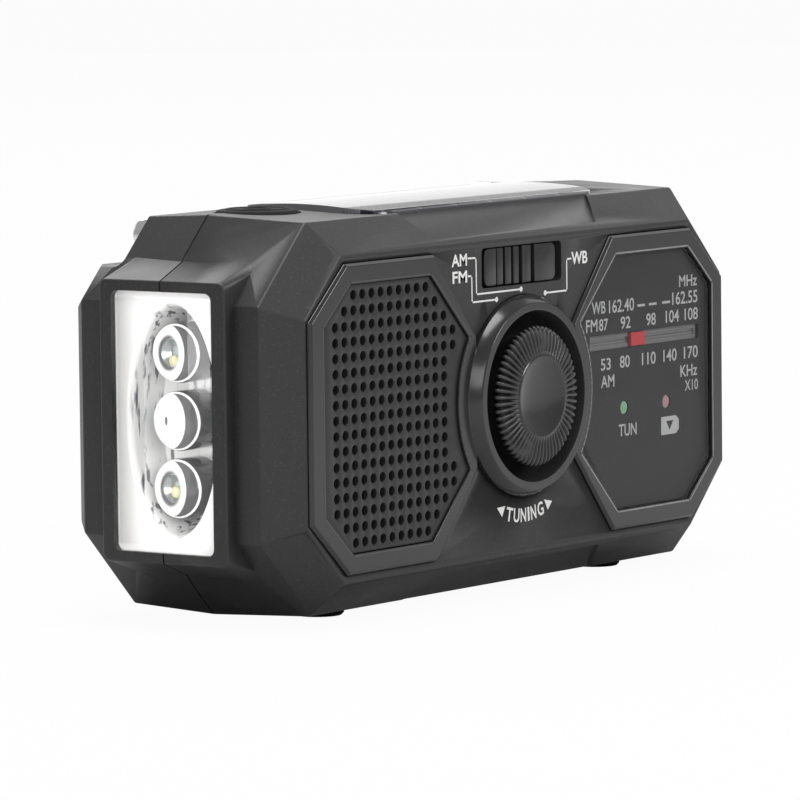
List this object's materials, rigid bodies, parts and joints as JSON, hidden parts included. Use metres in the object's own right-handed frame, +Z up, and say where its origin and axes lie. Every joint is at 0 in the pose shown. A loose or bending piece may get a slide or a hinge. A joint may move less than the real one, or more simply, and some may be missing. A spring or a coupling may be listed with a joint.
{
  "type": "emergency radio",
  "caption": "Hand-held radio in an eight-sided two-part case, with an end torch, tuning knob and dial, solar top, folding antenna, dynamo crank and covered ports.",
  "frame": {"origin": "bottom centre of the whole radio, on the plane of its four feet", "axes": "+Z up, +X along the case from the torch to the volume wheel, -Y out of the dial's face, +Y out of the back"},
  "size_m": [0.1316, 0.0466, 0.0639],
  "materials": {
    "case_plastic": "fine satin texture",
    "trim_gloss": "polished",
    "grille_plastic": "satin",
    "knob_plastic": "semi-gloss",
    "clear_plastic": "clear",
    "panel_cover": "clear over dark",
    "silicon": "glossy",
    "dial_print": "printed",
    "track_grey": "matt",
    "pointer_red": "matt",
    "lamp_green": "clear tint",
    "lamp_red": "clear tint",
    "led_clear": "clear",
    "reflector": "mirror plated",
    "rubber_dark": "matt",
    "nylon": "matt",
    "board": "lacquered",
    "switch_black": "matt",
    "steel": "plain",
    "bronze": "plain",
    "magnet": "dull",
    "cone": "matt",
    "cell": "satin",
    "antenna_chrome": "polished"
  },
  "bodies": {
    "case": {"front_shell": "case_plastic", "rear_shell": "case_plastic", "front_trim": "trim_gloss", "speaker_grille": "grille_plastic", "speaker_basket": "steel", "speaker_magnet": "magnet", "speaker_cone": "cone", "dial_window": "clear_plastic", "dial_plate": "dial_print", "pointer_track": "track_grey", "tuning_led": "lamp_green", "battery_led": "lamp_red", "torch_lens": "clear_plastic", "torch_reflector": "reflector", "torch_leds": "led_clear", "torch_board": "board", "torch_switch": "switch_black", "main_board": "board", "tuning_capacitor": "nylon", "band_switch_body": "nylon", "solar_window": "panel_cover", "solar_cell": "silicon", "battery": "cell", "ferrite_rod": "magnet", "ferrite_coil": "bronze", "generator_can": "steel", "gear_plate": "nylon", "idler_pin": "steel", "crank_bush": "bronze", "volume_pot": "switch_black", "usb_a_socket": "steel", "usb_c_socket": "steel", "case_screws": "steel", "feet": "rubber_dark", "antenna_screw": "steel"},
    "tuning": {"tuning_knob": "knob_plastic", "tuning_pinion": "nylon"},
    "pointer": {"pointer_slider": "pointer_red"},
    "capacitor": {"capacitor_gear": "nylon"},
    "band": {"band_slider": "knob_plastic"},
    "button": {"torch_button": "rubber_dark"},
    "volume": {"volume_wheel": "dial_print"},
    "cover": {"port_cover": "rubber_dark"},
    "crank": {"crank_shaft": "steel", "crank_gear": "nylon", "crank_arm": "case_plastic", "crank_screw": "steel", "grip_pin": "steel"},
    "idler": {"idler_gear": "nylon"},
    "rotor": {"generator_rotor": "magnet"},
    "grip_hinge": {"grip_post": "knob_plastic"},
    "grip": {"grip_sleeve": "knob_plastic"},
    "antenna_base": {"antenna_knuckle": "antenna_chrome", "elbow_pin": "steel"},
    "antenna_rod": {"antenna_section_1": "antenna_chrome"},
    "antenna_two": {"antenna_section_2": "antenna_chrome"},
    "antenna_three": {"antenna_section_3": "antenna_chrome"},
    "antenna_four": {"antenna_section_4": "antenna_chrome", "antenna_tip": "antenna_chrome"}
  },
  "joints": [
    {"name": "tuning_turn", "type": "hinge", "parent": "case", "child": "tuning", "pos_m": [0, -0.0134, 0.0319], "axis": [0, 1, 0], "range_deg": [-128, 168]},
    {"name": "pointer_travel", "type": "slide", "parent": "case", "child": "pointer", "axis": [1, 0, 0], "range_m": [-0.0121, 0.0159]},
    {"name": "capacitor_turn", "type": "hinge", "parent": "case", "child": "capacitor", "pos_m": [0, -0.0094, 0.0175], "axis": [0, 1, 0], "range_deg": [-101, 77]},
    {"name": "band_travel", "type": "slide", "parent": "case", "child": "band", "axis": [1, 0, 0], "range_m": [-0.00125, 0.00125]},
    {"name": "button_press", "type": "slide", "parent": "case", "child": "button", "axis": [0, 0, -1], "range_m": [0, 0.0008], "stiffness_N_per_m": 500},
    {"name": "volume_turn", "type": "hinge", "parent": "case", "child": "volume", "pos_m": [0.0563, -0.0087, 0.0379], "axis": [0, 1, 0], "range_deg": [0, 270]},
    {"name": "cover_open", "type": "hinge", "parent": "case", "child": "cover", "pos_m": [0.06355, 0.0004, 0.0209], "axis": [0, 0, 1], "range_deg": [0, 110]},
    {"name": "crank_spin", "type": "hinge", "parent": "case", "child": "crank", "pos_m": [0.01, 0.0166, 0.0219], "axis": [0, 1, 0], "continuous": true},
    {"name": "idler_spin", "type": "hinge", "parent": "case", "child": "idler", "pos_m": [0.01711, 0.0096, 0.04145], "axis": [0, 1, 0], "continuous": true},
    {"name": "rotor_spin", "type": "hinge", "parent": "case", "child": "rotor", "pos_m": [0.03065, 0.0006, 0.04637], "axis": [0, 1, 0], "continuous": true},
    {"name": "grip_fold", "type": "hinge", "parent": "crank", "child": "grip_hinge", "pos_m": [-0.016, 0.0189, 0.0219], "axis": [0, 0, 1], "range_deg": [0, 90]},
    {"name": "grip_spin", "type": "hinge", "parent": "grip_hinge", "child": "grip", "pos_m": [-0.016, 0.0189, 0.0219], "axis": [1, 0, 0], "continuous": true},
    {"name": "antenna_swing", "type": "hinge", "parent": "case", "child": "antenna_base", "pos_m": [0.046, 0.0202, 0.0593], "axis": [0, 1, 0], "range_deg": [0, 180]},
    {"name": "antenna_elbow", "type": "hinge", "parent": "antenna_base", "child": "antenna_rod", "pos_m": [0.0395, 0.0202, 0.0593], "axis": [0, 0, -1], "range_deg": [0, 90]},
    {"name": "antenna_pull_1", "type": "slide", "parent": "antenna_rod", "child": "antenna_two", "axis": [-1, 0, 0], "range_m": [0, 0.068]},
    {"name": "antenna_pull_2", "type": "slide", "parent": "antenna_two", "child": "antenna_three", "axis": [-1, 0, 0], "range_m": [0, 0.068]},
    {"name": "antenna_pull_3", "type": "slide", "parent": "antenna_three", "child": "antenna_four", "axis": [-1, 0, 0], "range_m": [0, 0.068]}
  ],
  "couplings": [
    {"joint": "pointer_travel", "follows": "tuning_turn", "m_per_rad": 0.0054},
    {"joint": "capacitor_turn", "follows": "tuning_turn", "ratio": -0.6},
    {"joint": "idler_spin", "follows": "crank_spin", "ratio": -3.3333},
    {"joint": "rotor_spin", "follows": "crank_spin", "ratio": 10}
  ]
}
